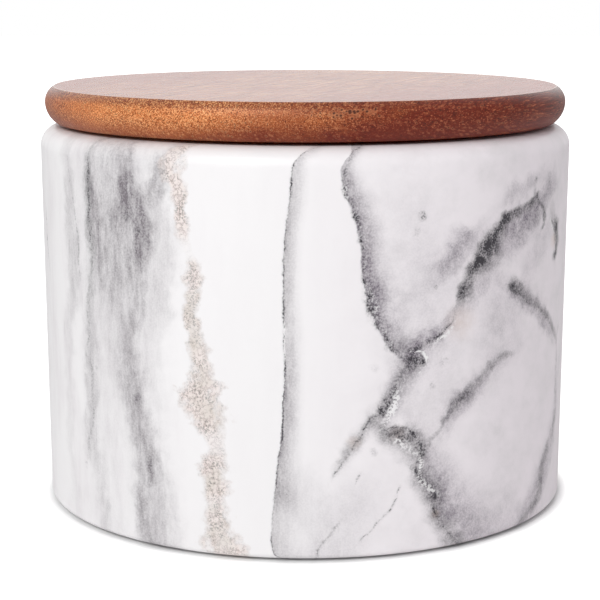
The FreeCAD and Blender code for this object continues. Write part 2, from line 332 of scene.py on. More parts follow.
# Strokes of soft dark smoke
SMOKE = [
    # The heavy stroke at the upper right, with its loop
    Streak(0.7, 1.15, 0, [
        (541, 190, 0.0, 1.0), (533, 199, 0.75, 1.6), (523, 205, 0.7, 2.0), (513, 213, 0.75, 2.4),
        (502, 221, 0.8, 3.6), (496, 231, 0.95, 4.4), (487, 247, 1.0, 5.6), (480, 258, 0.95, 4.8),
        (473, 267, 0.8, 3.6), (467, 278, 0.75, 3.6), (464, 289, 0.72, 3.6), (458, 298, 0.6, 2.8),
        (455, 307, 0.25, 1.4), (453, 316, 0.0, 0.8),
    ]),
    Streak(1, 1, 0, [
        (534, 196, 0.45, 0.9), (540, 203, 0.6, 1.1), (543, 213, 0.65, 1.3), (542, 224, 0.55, 1.4),
        (538, 236, 0.0, 1.4),
    ]),
    # The short stroke at the right
    Streak(0.8, 1.2, 0, [
        (504, 281, 0.0, 1.6), (510, 284, 0.6, 2.2), (517, 288, 0.85, 2.8), (524, 295, 0.55, 2.0),
        (532, 301, 0.5, 1.8), (539, 307, 0.5, 1.7), (546, 315, 0.45, 1.4), (552, 325, 0.4, 1.2),
        (556, 338, 0.3, 1.1), (557, 352, 0.0, 1.0),
    ]),
    # The thin diagonal below it
    Streak(1, 1, 0, [
        (516, 352, 0.0, 1.2), (509, 355, 0.3, 1.3), (493, 365, 0.35, 1.6), (482, 376, 0.4, 1.8),
        (474, 386, 0.4, 2.2), (467, 394, 0.5, 2.4), (459, 400, 0.55, 2.4), (451, 411, 0.45, 1.5),
        (446, 419, 0.4, 1.1), (438, 431, 0.35, 0.9), (430, 443, 0.25, 0.9), (424, 452, 0.0, 0.9),
    ]),
    # The grey bodies of the branches below the crossing
    Streak(1, 1, 0, [
        (398, 350, 0.3, 3.2), (409, 360, 0.42, 4.4), (404, 376, 0.35, 4.0), (396, 392, 0.3, 3.6),
        (388, 408, 0.32, 3.2), (380, 417, 0.3, 2.2), (370, 424, 0.28, 1.8), (355, 445, 0.32, 2.4),
        (343, 463, 0.25, 1.6), (333, 478, 0.0, 1.2),
    ]),
    Streak(1, 1, 0, [
        (386, 432, 0.45, 3.2), (402, 438, 0.62, 5.4), (414, 447, 0.6, 5.2), (419, 458, 0.48, 4.4),
        (418, 470, 0.48, 4.0), (424, 482, 0.46, 4.6), (432, 493, 0.5, 5.0), (436, 505, 0.4, 4.4),
        (440, 520, 0.38, 4.0), (450, 534, 0.42, 4.0), (458, 543, 0.42, 4.0),
    ]),
    # Along the dark line of the left cloud
    Streak(1, 1, 20, [
        (89, 148, 0.2, 1.8), (89, 170, 0.4, 2.0), (89.5, 190, 0.5, 2.2), (90, 205, 0.48, 2.2),
        (90, 225, 0.45, 2.2), (91, 245, 0.4, 2.2), (92, 265, 0.28, 2.2), (90, 300, 0.15, 2.2),
        (89, 330, 0.1, 2.0),
    ]),
    # Down the right edge, and the fissure above
    Streak(1.5, 1, 0, [
        (557, 335, 0.15, 1.2), (556, 384, 0.2, 1.4), (554, 425, 0.3, 1.6), (548, 447, 0.35, 1.8),
        (543, 471, 0.45, 2.0), (541, 490, 0.5, 2.2), (535, 506, 0.45, 2.2), (526, 517, 0.3, 2.2),
        (515, 528, 0.0, 2.2),
    ]),
    Streak(1, 1, 0, [
        (552, 216, 0.3, 2.6), (555, 226, 0.7, 3.2), (556, 238, 0.55, 3.0), (555, 250, 0.65, 3.0),
        (554, 260, 0.1, 2.0),
    ]),
]

# Stains that start at a vein and fade to one side of it
STAINS = [
    # Right of the hairline
    Streak(0.04, 1, 35, [
        (300, 155, 0.2, 3.0), (293, 172, 0.42, 3.2), (291, 200, 0.42, 3.2), (286, 237, 0.42, 3.2),
        (284, 271, 0.44, 3.4), (284, 307, 0.44, 3.4), (285, 375, 0.52, 3.6), (283, 408, 0.58, 3.8),
        (279, 450, 0.58, 4.4), (276, 475, 0.58, 5.0), (274, 502, 0.52, 6.0), (271, 530, 0.32, 6.0),
        (275, 557, 0.35, 6.0),
    ]),
    # Right of the main vein
    Streak(0.1, 1, 20, [
        (352, 153, 0.35, 3.6), (344, 184, 0.58, 5.0), (355, 216, 0.68, 6.0), (362, 245, 0.7, 6.0),
        (363, 268, 0.7, 6.2), (367, 288, 0.7, 6.8), (371, 306, 0.78, 7.4), (378, 324, 0.72, 7.0),
        (389, 345, 0.52, 6.0), (404, 362, 0.35, 5.0), (420, 380, 0.0, 5.0),
    ]),
]

CLOUDS = [
    # The streaked grey cloud on the left
    Streak(1, 1, 20, [
        (112, 140, 0.2, 7.0), (118, 165, 0.35, 8.0), (121, 195, 0.45, 8.5), (121, 220, 0.45, 8.5),
        (120, 250, 0.42, 8.5), (121, 290, 0.34, 8.0), (124, 330, 0.3, 7.5), (130, 370, 0.35, 6.8),
        (136, 410, 0.38, 6.8), (143, 450, 0.38, 6.4), (147, 480, 0.36, 6.4), (152, 520, 0.36, 6.4),
        (155, 548, 0.36, 6.4),
    ]),
    Streak(1, 1, 20, [
        (122, 150, 0.1, 3.0), (126, 165, 0.35, 3.5), (128, 185, 0.5, 4.0), (126, 205, 0.5, 4.0),
        (118, 225, 0.25, 3.5), (112, 240, 0.0, 3.0),
    ]),
    Streak(1, 1, 20, [
        (132, 180, 0.1, 3.4), (138, 200, 0.5, 3.8), (140, 225, 0.65, 4.0), (139, 250, 0.65, 4.0),
        (136, 270, 0.5, 4.0), (136, 295, 0.4, 4.0), (132, 320, 0.3, 4.0), (130, 345, 0.1, 4.0),
    ]),
    Streak(1, 1, 20, [
        (94, 150, 0.15, 2.5), (95, 180, 0.45, 3.0), (97, 205, 0.5, 3.6), (99, 235, 0.5, 3.6),
        (101, 265, 0.35, 4.0), (98, 290, 0.12, 4.0),
    ]),
    Streak(1, 1, 20, [
        (128, 335, 0.05, 4.4), (130, 355, 0.25, 4.4), (132, 375, 0.38, 4.6), (134, 400, 0.4, 4.6),
        (138, 420, 0.32, 4.2), (144, 445, 0.32, 4.0), (147, 466, 0.42, 4.0), (146, 485, 0.3, 3.6),
        (141, 505, 0.4, 2.4), (142, 530, 0.45, 2.6), (146, 548, 0.45, 3.0),
    ]),
    Streak(1, 1, 20, [
        (90, 325, 0.18, 4.2), (91, 350, 0.32, 4.2), (91, 380, 0.34, 4.2), (92, 420, 0.34, 4.2),
        (93, 450, 0.28, 4.0), (96, 470, 0.14, 3.8), (103, 500, 0.2, 3.4), (106, 540, 0.12, 3.4),
    ]),
    Streak(1, 1, 20, [
        (168, 150, 0.2, 3.0), (160, 168, 0.5, 3.8), (156, 180, 0.56, 3.8), (152, 195, 0.36, 3.4),
        (150, 215, 0.0, 3.0),
    ]),
    Streak(1, 1, 10, [
        (66, 150, 0.15, 4.0), (72, 220, 0.32, 4.5), (74, 290, 0.28, 4.5), (68, 350, 0.12, 4.0),
        (70, 420, 0.1, 3.5), (75, 500, 0.08, 3.5),
    ]),
    Streak(1, 1, 15, [
        (98, 140, 0.15, 13.0), (98, 200, 0.2, 14.0), (100, 260, 0.22, 14.0), (102, 330, 0.18, 13.0),
        (104, 400, 0.13, 12.0), (106, 470, 0.11, 12.0), (112, 550, 0.1, 12.0),
    ]),
    Streak(1, 1, 20, [
        (150, 145, 0.1, 6.0), (153, 175, 0.18, 6.5), (156, 215, 0.27, 6.5), (157, 260, 0.28, 6.5),
        (155, 310, 0.24, 6.5), (152, 350, 0.14, 6.0), (156, 420, 0.08, 6.0), (165, 500, 0.1, 6.0),
        (170, 550, 0.1, 6.0),
    ]),
    # The grey ground right of the main vein, partly the stone's grey and partly painted shade
    # on the side away from the key light
    Streak(1, 1, 0, [
        (380, 150, 0.0, 10.0), (400, 200, 0.06, 12.0), (415, 250, 0.12, 14.0), (425, 300, 0.15, 14.0),
        (430, 340, 0.15, 13.0), (430, 380, 0.1, 12.0), (425, 420, 0.08, 10.0),
    ]),
    Streak(1, 1, 0, [
        (515, 262, 0.0, 9.0), (508, 285, 0.14, 11.0), (500, 320, 0.2, 13.0), (498, 350, 0.12, 13.0),
        (495, 390, 0.04, 12.0), (490, 450, 0.03, 12.0),
    ]),
    Streak(1, 1, 0, [
        (552, 222, 0.1, 5.0), (541, 242, 0.18, 6.0), (530, 262, 0.18, 6.0), (522, 285, 0.1, 5.0),
    ]),
    Streak(1, 1, 0, [
        (456, 314, 0.2, 2.4), (442, 332, 0.3, 2.8), (425, 345, 0.34, 3.2), (405, 352, 0.25, 3.2),
    ]),
    # Smears round the heavy stroke
    Streak(1, 1, 0, [
        (480, 230, 0.15, 3.5), (468, 238, 0.45, 4.6), (455, 247, 0.5, 5.2), (447, 259, 0.44, 5.2),
        (436, 270, 0.25, 4.4), (426, 284, 0.1, 4.0),
    ]),
    Streak(1, 1, 0, [
        (541, 204, 0.6, 5.4), (529, 216, 0.6, 7.0), (517, 228, 0.58, 6.6), (506, 243, 0.5, 6.2),
        (495, 258, 0.38, 5.4), (480, 280, 0.32, 5.0), (468, 298, 0.27, 4.6), (460, 318, 0.1, 3.6),
    ]),
    Streak(1, 1, 0, [
        (537, 178, 0.2, 2.6), (525, 185, 0.3, 3.2), (512, 195, 0.3, 3.2), (500, 208, 0.1, 3.0),
        (492, 216, 0.0, 3.0),
    ]),
    # Stains of the short stroke, the thin diagonal and the branches
    Streak(0.5, 1, 0, [
        (505, 286, 0.2, 3.4), (520, 298, 0.46, 4.8), (535, 310, 0.46, 5.4), (550, 330, 0.38, 5.0),
        (557, 345, 0.0, 3.0),
    ]),
    Streak(1, 1, 0, [
        (512, 356, 0.12, 3.6), (486, 374, 0.3, 4.4), (462, 400, 0.42, 5.4), (445, 424, 0.25, 4.2),
        (432, 442, 0.0, 3.0),
    ]),
    Streak(0.8, 1.4, 0, [
        (415, 430, 0.15, 3.5), (425, 455, 0.3, 4.6), (432, 475, 0.46, 6.2), (445, 500, 0.5, 7.2),
        (460, 520, 0.48, 7.6), (475, 540, 0.38, 8.0),
    ]),
    Streak(1, 1, 0, [
        (412, 358, 0.35, 4.6), (398, 388, 0.38, 4.6), (385, 412, 0.32, 4.0), (365, 432, 0.15, 3.5),
        (345, 462, 0.12, 3.0), (330, 485, 0.0, 2.5),
    ]),
    # Pale greys near the base and at the right edge
    Streak(1, 1, 20, [
        (300, 450, 0.0, 4.0), (305, 490, 0.12, 6.0), (310, 530, 0.15, 7.0), (315, 555, 0.15, 7.0),
    ]),
    Streak(1, 1, 0, [
        (372, 460, 0.0, 7.0), (362, 490, 0.12, 9.0), (352, 520, 0.17, 10.0), (345, 552, 0.17, 10.0),
    ]),
    Streak(1, 1, 0, [(500, 470, 0.0, 9.0), (505, 500, 0.12, 10.0), (505, 530, 0.2, 10.0)]),
    Streak(1.5, 1, 0, [
        (557, 380, 0.15, 3.0), (552, 440, 0.3, 4.0), (540, 490, 0.4, 5.0), (525, 520, 0.35, 5.0),
    ]),
]

# Dark knots of mineral: pixels, radius in millimetres and darkness
KNOTS = [
    (418, 361, 1.9, 0.85), (507, 219, 1.6, 0.45), (518, 214, 1.0, 0.4),
    (344, 188, 0.8, 0.5), (356, 217, 0.8, 0.5), (361, 240, 0.7, 0.45), (369, 298, 1.3, 0.55),
    (372, 311, 1.3, 0.45), (389, 346, 1.1, 0.5), (391, 400, 1.4, 0.55), (384, 411, 1.3, 0.55),
    (413, 467, 0.9, 0.5), (433, 495, 1.4, 0.35), (425, 452, 0.9, 0.4), (517, 288, 1.6, 0.4),
    (535, 179, 0.9, 0.4), (421, 216, 1.0, 0.5), (416, 231, 0.9, 0.25), (436, 287, 0.5, 0.4),
    (374, 452, 0.9, 0.3), (432, 386, 0.8, 0.25), (443, 362, 1.0, 0.4), (374, 368, 1.0, 0.18),
    (125, 214, 1.1, 0.55), (149, 463, 1.0, 0.3), (139, 232, 1.0, 0.3), (92, 395, 0.7, 0.3),
    (96, 368, 0.6, 0.25), (85, 461, 0.6, 0.25),
]

# Seams of white crystal beside the dark mineral
SEAMS = [
    # Round the crossing
    Streak(1, 1, 0, [
        (412, 352, 0.6, 1.0), (419, 351, 0.9, 1.0), (425, 354, 1.0, 1.0), (427, 361, 1.0, 1.0),
        (425, 367, 0.9, 1.0), (420, 373, 0.7, 1.0),
    ]),
    Streak(1, 1, 0, [
        (405, 377, 0.3, 1.4), (400, 388, 0.5, 1.8), (397, 398, 0.9, 2.2), (394, 408, 1.0, 2.2),
        (389, 417, 0.9, 1.8), (384, 425, 0.6, 1.2),
    ]),
    # Down the right branch
    Streak(1, 1, 0, [
        (393, 436, 0.3, 1.2), (402, 444, 0.8, 1.8), (411, 450, 0.6, 1.8), (420, 456, 0.6, 1.8),
        (421, 468, 0.9, 1.8), (420, 480, 0.7, 1.8), (428, 487, 0.8, 1.8), (437, 494, 0.6, 1.6),
        (445, 502, 0.0, 1.2),
    ]),
    # Along the link, the main vein and the fissure
    Streak(1, 1, 0, [
        (456, 320, 0.3, 0.8), (450, 330, 0.8, 1.0), (442, 337, 0.9, 1.2), (434, 343, 0.4, 1.0),
    ]),
    Streak(1, 1, 0, [
        (348, 180, 0.2, 0.9), (347, 190, 0.5, 1.0), (354, 205, 0.3, 1.0), (363, 243, 0.5, 1.0),
        (367, 285, 0.4, 1.2), (375, 303, 0.5, 1.6), (378, 318, 0.4, 1.6), (388, 335, 0.3, 1.2),
    ]),
    Streak(1, 1, 0, [(549, 217, 0.6, 0.8), (550, 222, 1.0, 0.9), (552, 229, 0.9, 0.8), (553, 236, 0.2, 0.7)]),
]

# Rusty tints: pixels, radius in millimetres and strength
TINTS = [
    (461, 322, 4.0, 0.25), (354, 443, 1.6, 0.3), (398, 434, 2.0, 0.25), (436, 514, 1.2, 0.4),
    (553, 240, 2.0, 0.4),
]

# The crystalline beige band: pixels, how strong it is and its half width
BEIGE_BAND = Streak(1, 1, 30, [
    (181, 143, 0.6, 2.5), (172, 152, 0.8, 2.2), (170, 165, 0.9, 2.4), (174, 180, 0.9, 1.9),
    (180, 195, 0.9, 1.6), (182, 215, 0.9, 1.4), (183, 232, 0.8, 1.4), (186, 243, 0.2, 1.0),
    (190, 254, 0.1, 1.0), (193, 263, 0.9, 1.5), (193, 280, 1.0, 1.8), (192, 300, 0.95, 1.6),
    (191, 318, 0.95, 1.6), (193, 331, 0.8, 1.5), (196, 343, 0.95, 2.0), (199, 356, 1.0, 2.1),
    (202, 370, 1.0, 2.3), (203, 380, 1.0, 2.6), (200, 387, 1.0, 3.8), (201, 400, 1.0, 3.9),
    (204, 415, 1.0, 3.7), (208, 426, 0.95, 2.7), (212, 436, 0.6, 1.9), (214, 449, 0.5, 1.7),
    (211, 458, 0.9, 2.5), (212, 475, 0.95, 2.5), (213, 492, 0.95, 2.5),
    (214, 502, 0.7, 2.0), (216, 518, 0.95, 2.6), (217, 535, 0.95, 2.8), (224, 548, 0.95, 3.8),
])


# Millimetres behind the axis where the sheets start to turn upside down, and where they are turned
TURN_STARTS = 5.0
TURN_ENDS = 40.0
# A knot has faded out at this many radii
KNOT_FADE = 1.5


class MarbleBlock:
    """The sheets and knots of mineral in the block, as nodes of the marble's tree."""

    def __init__(self, tree, pot, stage):
        self.add = partial(add_node, tree)
        self.pot = pot
        self.stage = stage
        self.plain = millimetres(tree)
        # Hairlines keep close to their routes, veins are torn, smoke curls, clouds wander
        self.close = self.turned_over(self.warped([(0.5, 0.25), (1.8, 0.2)]))
        self.place = self.turned_over(self.warped([(0.25, 0.7), (0.8, 0.4), (2.2, 0.15)]))
        self.curl = self.turned_over(self.warped([(0.15, 1.2), (0.5, 1.0), (1.4, 0.4)]))
        self.drift = self.turned_over(self.warped([(0.09, 2.5), (0.3, 2.2), (1.0, 0.8)]))

    def warped(self, ripples):
        """Bends the sheets by ripples, (ripples in a millimetre, reach), so that none looks ruled."""
        place = self.plain
        for per_mm, reach in ripples:
            noise = self.add("ShaderNodeTexNoise", {"Vector": place, "Scale": per_mm, "Detail": 2.0})
            shift = self.add(
                "ShaderNodeVectorMath",
                {0: noise.node.outputs["Color"], 1: (0.5, 0.5, 0.5)},
                operation="SUBTRACT",
            )
            place = self.add(
                "ShaderNodeVectorMath",
                {0: shift, 1: (2 * reach,) * 3, 2: place},
                operation="MULTIPLY_ADD",
            )
        return place

    def turned_over(self, place):
        """Towards the back of the block the sheets turn upside down, so the back isn't the front's mirror."""
        parts = self.add("ShaderNodeSeparateXYZ", {"Vector": place}).node.outputs
        both_ends = (POT_LOW.z + POT_HIGH.z) * PER_METRE
        upset = self.add("ShaderNodeMath", {0: both_ends, 1: parts["Z"]}, operation="SUBTRACT")
        depth = self.add(
            "ShaderNodeMapRange",
            {"Value": parts["Y"], "From Min": TURN_STARTS, "From Max": TURN_ENDS},
            interpolation_type="SMOOTHSTEP",
        )
        height = self.add("ShaderNodeMix", {"Factor": depth, "A": parts["Z"], "B": upset})
        return self.add("ShaderNodeCombineXYZ", {"X": parts["X"], "Y": parts["Y"], "Z": height})

    def spots(self, route):
        """A route's points on the wall, in millimetres."""
        return [wall_point(self.stage, self.pot, point[0], point[1]) for point in route]

    def across(self, streak, place):
        """Two sockets: distance from the middle of a streak in its widths, positive to its right as it runs
        down, and the streak's strength, which fades past its ends unless they are at the rim or the base."""
        spots = self.spots(streak.route)
        middle = spots[len(spots) // 2]
        facing = math.atan2(middle.x, -middle.y) - math.radians(streak.slant)
        outward = Vector((math.sin(facing), -math.cos(facing), 0))
        run = spots[-1] - spots[0]
        along = (run - outward * run.dot(outward)).normalized()
        across = outward.cross(along)
        widths = [point[3] for point in streak.route]
        widest = max(widths)
        spare = 2 * max(widths[0], widths[-1])
        start = spots[0].dot(along) - spare
        reach = run.dot(along) + 2 * spare
        places = [(spot.dot(along) - start) / reach for spot in spots]
        offsets = [spot.dot(across) for spot in spots]
        low, span = min(offsets), max(offsets) - min(offsets) + 0.01
        darks = [(at, point[2]) for at, point in zip(places, streak.route)]
        for end, at in ((spots[0], 0), (spots[-1], 1)):
            if POT_LOW.z + RIM_ZONE < end.z * MM < POT_HIGH.z - RIM_ZONE:
                darks.append((at, 0))

        travel = self.add("ShaderNodeVectorMath", {0: place, 1: along}, operation="DOT_PRODUCT")
        travel = self.add(
            "ShaderNodeMath", {0: travel, 1: 1 / reach, 2: -start / reach}, operation="MULTIPLY_ADD"
        )
        middle = self.add(
            "ShaderNodeFloatCurve",
            {"Value": travel},
            curve=[(at, (offset - low) / span) for at, offset in zip(places, offsets)],
        )
        middle = self.add("ShaderNodeMath", {0: middle, 1: span, 2: low}, operation="MULTIPLY_ADD")
        away = self.add("ShaderNodeVectorMath", {0: place, 1: across}, operation="DOT_PRODUCT")
        away = self.add("ShaderNodeMath", {0: away, 1: middle}, operation="SUBTRACT")
        width = self.add(
            "ShaderNodeFloatCurve",
            {"Value": travel},
            curve=[(at, width / widest) for at, width in zip(places, widths)],
        )
        width = self.add("ShaderNodeMath", {0: width, 1: widest}, operation="MULTIPLY")
        strength = self.add("ShaderNodeFloatCurve", {"Value": travel}, curve=darks)
        return self.add("ShaderNodeMath", {0: away, 1: width}, operation="DIVIDE"), strength

    def darkness(self, streak, place, fall):
        """How dark the streak makes the stone, from 0 to 1. fall is how it fades from its middle to its
        sides: shares of the way out and what is left of it there."""
        away, strength = self.across(streak, place)
        whole = streak.left + streak.right
        peak = streak.left / whole
        share = self.add("ShaderNodeMath", {0: away, 1: 1 / whole, 2: peak}, operation="MULTIPLY_ADD")
        fade = [(0, 0), (peak, 1), (1, 0)]
        fade += [(peak + out * (1 - peak), rest) for out, rest in fall]
        fade += [(peak - out * peak, rest) for out, rest in fall]
        profile = self.add("ShaderNodeFloatCurve", {"Value": share}, curve=fade)
        return self.add("ShaderNodeMath", {0: profile, 1: strength}, operation="MULTIPLY")

    def knot(self, px, py, radius, dark):
        """How dark a round knot at the pixel makes the stone, from 0 to 1."""
        away = self.add(
            "ShaderNodeVectorMath", {0: self.place, 1: self.spots([(px, py)])[0]}, operation="DISTANCE"
        )
        return self.add(
            "ShaderNodeMapRange",
            {"Value": away, "From Max": radius * KNOT_FADE, "To Min": dark, "To Max": 0.0},
            interpolation_type="SMOOTHSTEP",
        )

    def together(self, shades):
        """Shades laid over each other like stains."""
        clear = self.add("ShaderNodeMath", {0: 1.0, 1: shades[0]}, operation="SUBTRACT")
        for shade in shades[1:]:
            left = self.add("ShaderNodeMath", {0: 1.0, 1: shade}, operation="SUBTRACT")
            clear = self.add("ShaderNodeMath", {0: clear, 1: left}, operation="MULTIPLY")
        return self.add("ShaderNodeMath", {0: 1.0, 1: clear}, operation="SUBTRACT")


# How clouds, veins and smoke fade to their sides: shares of the way out, and what is left there
CLOUD_FALL = [(0.25, 0.85), (0.5, 0.5), (0.75, 0.15)]
VEIN_FALL = [(0.15, 0.75), (0.3, 0.42), (0.55, 0.17), (0.8, 0.05)]
SMOKE_FALL = [(0.2, 0.9), (0.4, 0.65), (0.65, 0.3), (0.85, 0.08)]
# Millimetres from the middle to the cleanest line of the ground
CLEANEST = -10.0


def honed_white_marble(pot, stage):
    """White marble, turned and honed: soft grey clouds streaked along the bedding, smoky veins peppered with
    dark grains and white crystals, a hairline stained to one side, a crystalline beige band, and a satin
    surface that is duller on the mineral."""
    material, tree = new_material("honed_white_marble")
    add = partial(add_node, tree)
    block = MarbleBlock(tree, pot, stage)
    place = block.plain

    # Bedding streaks run up the pot, about four times as long as they are wide
    bedding = add("ShaderNodeVectorMath", {0: place, 1: (1.0, 1.0, 0.25)}, operation="MULTIPLY")
    streaks = add("ShaderNodeTexNoise", {"Vector": bedding, "Scale": 0.45, "Detail": 5.0, "Roughness": 0.7})
    smoke = add("ShaderNodeTexNoise", {"Vector": place, "Scale": 0.3, "Detail": 5.0, "Roughness": 0.65})
    pepper = add("ShaderNodeTexNoise", {"Vector": place, "Scale": 2.4, "Detail": 2.0, "Roughness": 0.6})
    clumps = add("ShaderNodeTexNoise", {"Vector": place, "Scale": 0.6, "Detail": 5.0, "Roughness": 0.7})
    salt = add("ShaderNodeTexNoise", {"Vector": place, "Scale": 1.7, "Detail": 2.0})
    mottle = add("ShaderNodeTexNoise", {"Vector": bedding, "Scale": 0.16, "Detail": 4.0, "Roughness": 0.6})
    blotches = add("ShaderNodeTexNoise", {"Vector": place, "Scale": 0.1, "Detail": 5.0, "Roughness": 0.65})
    side = add("ShaderNodeSeparateXYZ", {"Vector": place}).node.outputs["X"]
    right = add("ShaderNodeMapRange", {"Value": side, "From Min": -8.0, "From Max": 22.0})
    far_right = add("ShaderNodeMapRange", {"Value": side, "From Min": -8.0, "From Max": 60.0})

    # Left of the middle the clouds are streaked, to the right they are mottled
    texture = add("ShaderNodeMix", {"Factor": right, "A": streaks, "B": smoke})
    texture = add(
        "ShaderNodeMapRange",
        {"Value": texture, "From Min": 0.3, "From Max": 0.7, "To Min": 0.55, "To Max": 1.55},
    )
    clouds = [block.darkness(streak, block.drift, CLOUD_FALL) for streak in CLOUDS]
    clouds += [block.darkness(streak, block.close, CLOUD_FALL) for streak in STAINS]
    clouds = add("ShaderNodeMath", {0: block.together(clouds), 1: texture}, operation="MULTIPLY")
    grain = add(
        "ShaderNodeMapRange",
        {"Value": pepper, "From Min": 0.3, "From Max": 0.7, "To Min": 0.75, "To Max": 1.25},
    )
    clouds = add("ShaderNodeMath", {0: clouds, 1: grain}, operation="MULTIPLY", use_clamp=True)

    # Smoke is soft and uneven, veins come in puffs and are peppered
    strokes = block.together([block.darkness(streak, block.curl, SMOKE_FALL) for streak in SMOKE])
    strokes = add("ShaderNodeMath", {0: strokes, 1: texture}, operation="MULTIPLY")
    strokes = add("ShaderNodeMath", {0: strokes, 1: grain}, operation="MULTIPLY", use_clamp=True)
    veins = [block.darkness(streak, block.close, VEIN_FALL) for streak in HAIRLINES]
    veins += [block.darkness(streak, block.place, VEIN_FALL) for streak in VEINS]
    veins = block.together(veins + [block.knot(*knot) for knot in KNOTS])
    puffs = add(
        "ShaderNodeMapRange",
        {"Value": clumps, "From Min": 0.32, "From Max": 0.68, "To Min": 0.25, "To Max": 1.7},
    )
    grit = add(
        "ShaderNodeMapRange",
        {"Value": pepper, "From Min": 0.32, "From Max": 0.68, "To Min": 0.55, "To Max": 1.45},
    )
    swell = add(
        "ShaderNodeMapRange",
        {"Value": smoke, "From Min": 0.35, "From Max": 0.65, "To Min": 0.4, "To Max": 1.3},
    )
    uneven = add("ShaderNodeMath", {0: puffs, 1: grit}, operation="MULTIPLY")
    uneven = add("ShaderNodeMath", {0: uneven, 1: swell}, operation="MULTIPLY")
    dark = add("ShaderNodeMath", {0: veins, 1: uneven}, operation="MULTIPLY", use_clamp=True)
    dark = block.together([dark, strokes])

    # White crystals lie scattered in the veins and close together in the seams
    seams = block.together([block.darkness(seam, block.place, SMOKE_FALL) for seam in SEAMS])
    crystal = add("ShaderNodeMath", {0: seams, 1: 0.24, 2: salt}, operation="MULTIPLY_ADD")
    crystal = add("ShaderNodeMapRange", {"Value": crystal, "From Min": 0.64, "From Max": 0.69})
    inside = add("ShaderNodeMapRange", {"Value": veins, "From Min": 0.15, "From Max": 0.4, "To Max": 0.35})
    inside = add("ShaderNodeMath", {0: inside, 1: seams}, operation="MAXIMUM")
    glints = add("ShaderNodeMath", {0: crystal, 1: inside}, operation="MULTIPLY")

    # Warm white on the left, lilac white on the right, with a faint bedding
    ground = add(
        "ShaderNodeMix",
        {"Factor": far_right, "A": to_linear(pot.white), "B": to_linear(pot.lilac_white)},
        data_type="RGBA",
    )
    edges = add("ShaderNodeMath", {0: side, 1: CLEANEST}, operation="SUBTRACT")
    edges = add("ShaderNodeMath", {0: edges}, operation="ABSOLUTE")
    edges = add(
        "ShaderNodeMapRange",
        {"Value": edges, "From Min": 10.0, "From Max": 35.0, "To Min": 0.15, "To Max": 1.0},
    )
    faint = add("ShaderNodeMix", {"Factor": right, "A": mottle, "B": blotches})
    faint = add("ShaderNodeMapRange", {"Value": faint, "From Min": 0.42, "From Max": 0.68, "To Max": 0.45})
    faint = add("ShaderNodeMath", {0: faint, 1: edges}, operation="MULTIPLY")
    faint = add("ShaderNodeMath", {0: faint, 1: texture}, operation="MULTIPLY", use_clamp=True)
    cloud = add(
        "ShaderNodeMix",
        {"Factor": right, "A": to_linear(pot.cloud), "B": to_linear(pot.lilac)},
        data_type="RGBA",
    )
    rust = block.together([block.knot(*tint) for tint in TINTS])
    rust = add("ShaderNodeMath", {0: rust, 1: texture}, operation="MULTIPLY", use_clamp=True)

    # The beige band has a soft, lumpy edge, squiggled seams, and specks in clusters
    away, strength = block.across(BEIGE_BAND, block.close)
    lumps = add("ShaderNodeTexNoise", {"Vector": place, "Scale": 0.35, "Detail": 3.0})
    lumps = add(
        "ShaderNodeMapRange",
        {"Value": lumps, "From Min": 0.3, "From Max": 0.7, "To Min": -0.5, "To Max": 0.5},
    )
    away = add("ShaderNodeMath", {0: away}, operation="ABSOLUTE")
    away = add("ShaderNodeMath", {0: away, 1: lumps}, operation="ADD")
    band = add(
        "ShaderNodeMapRange",
        {"Value": away, "From Min": 0.5, "From Max": 1.3, "To Min": 1.0, "To Max": 0.0},
    )
    band = add("ShaderNodeMath", {0: band, 1: strength}, operation="MULTIPLY", use_clamp=True)
    thin = add(
        "ShaderNodeMapRange",
        {"Value": mottle, "From Min": 0.4, "From Max": 0.6, "To Min": 1.1, "To Max": 0.8},
    )
    band = add("ShaderNodeMath", {0: band, 1: thin}, operation="MULTIPLY", use_clamp=True)
    crystals = add("ShaderNodeTexNoise", {"Vector": place, "Scale": 0.75, "Detail": 3.0, "Roughness": 0.6})
    beige = add(
        "ShaderNodeValToRGB",
        {"Fac": crystals},
        stops=[
            (0.40, to_linear(pot.beige_pale)),
            (0.46, to_linear(pot.beige)),
            (0.49, to_linear(pot.beige_seam)),
            (0.52, to_linear(pot.beige)),
            (0.60, to_linear(pot.beige_pale)),
        ],
    )
    greyer = add("ShaderNodeMapRange", {"Value": blotches, "From Min": 0.45, "From Max": 0.6, "To Max": 0.5})
    rim = add("ShaderNodeMapRange", {"Value": away, "From Min": 0.55, "From Max": 0.95, "To Max": 0.2})
    specks = add("ShaderNodeMath", {0: smoke, 1: pepper}, operation="ADD")
    specks = add("ShaderNodeMapRange", {"Value": specks, "From Min": 1.1, "From Max": 1.22, "To Max": 0.75})
    for share, shade in ((greyer, pot.beige_grey), (rim, pot.beige_seam), (specks, pot.beige_dark)):
        beige = add("ShaderNodeMix", {"Factor": share, "A": beige, "B": to_linear(shade)}, data_type="RGBA")

    # All of it is laid over the ground in turn
    layers = (
        (faint, to_linear(pot.shade)),
        (clouds, cloud),
        (rust, to_linear(pot.rust)),
        (band, beige),
        (dark, to_linear(pot.vein)),
        (glints, to_linear(pot.white)),
    )
    for share, shade in layers:
        ground = add("ShaderNodeMix", {"Factor": share, "A": ground, "B": shade}, data_type="RGBA")

    mineral = add("ShaderNodeMath", {0: dark, 1: band}, operation="MAXIMUM")
    pits = add("ShaderNodeMath", {0: mineral, 1: pepper}, operation="MULTIPLY")
    bump = add("ShaderNodeBump", {"Height": pits, "Strength": 0.5, "Distance": 0.05 * MM}, invert=True)
    rough = add("ShaderNodeMapRange", {"Value": mineral, "To Min": 0.36, "To Max": 0.55})
    shader = add(
        "ShaderNodeBsdfPrincipled", {"Base Color": ground, "Roughness": rough, "IOR": 1.5, "Normal": bump}
    )
    add("ShaderNodeOutputMaterial", {"Surface": shader})
    return material


